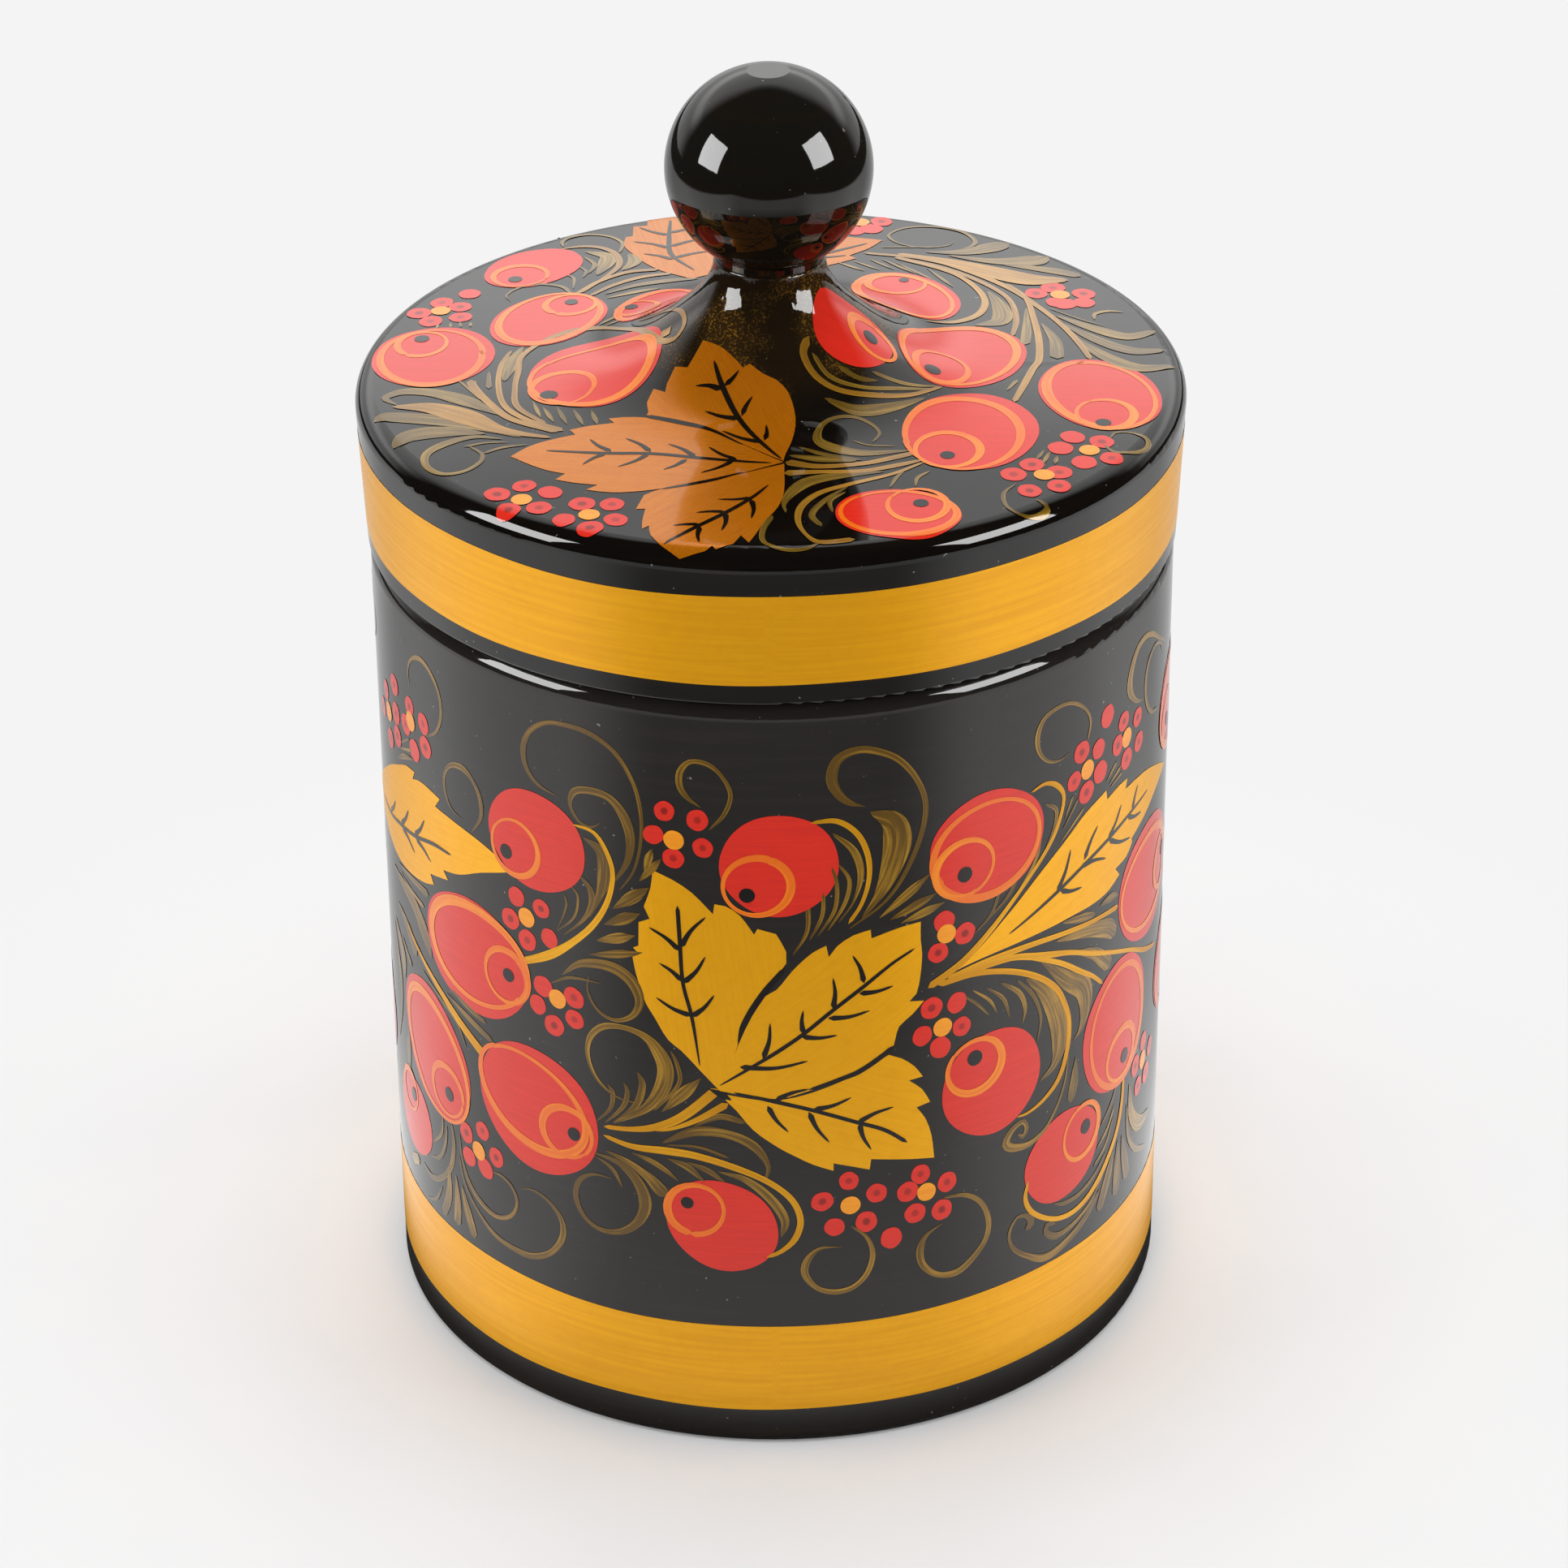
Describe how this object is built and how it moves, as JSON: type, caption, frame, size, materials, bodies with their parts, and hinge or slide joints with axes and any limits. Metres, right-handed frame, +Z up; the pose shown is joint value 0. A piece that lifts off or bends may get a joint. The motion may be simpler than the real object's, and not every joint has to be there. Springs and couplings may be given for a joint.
{
  "type": "lidded canister",
  "caption": "Turned wooden canister with a lift-off lid and a ball knob, painted and lacquered in a berry and leaf pattern.",
  "frame": {"origin": "middle of the foot, on the surface the canister stands on", "axes": "+Z up along the turning axis; -Y is the side seen first, with the three-leaf spray left of centre"},
  "size_m": [0.102, 0.102, 0.1646],
  "materials": {
    "jar_body": "black lacquer with painted pattern, gloss",
    "lid": "black lacquer with painted pattern, gloss",
    "knob": "black lacquer, gloss"
  },
  "bodies": {
    "jar": {"jar_body": "jar_body"},
    "lid": {"lid": "lid", "knob": "knob"}
  },
  "joints": [
    {"name": "lid_lift", "type": "slide", "parent": "jar", "child": "lid", "axis": [0, 0, 1], "range_m": [0, 0.06]}
  ]
}
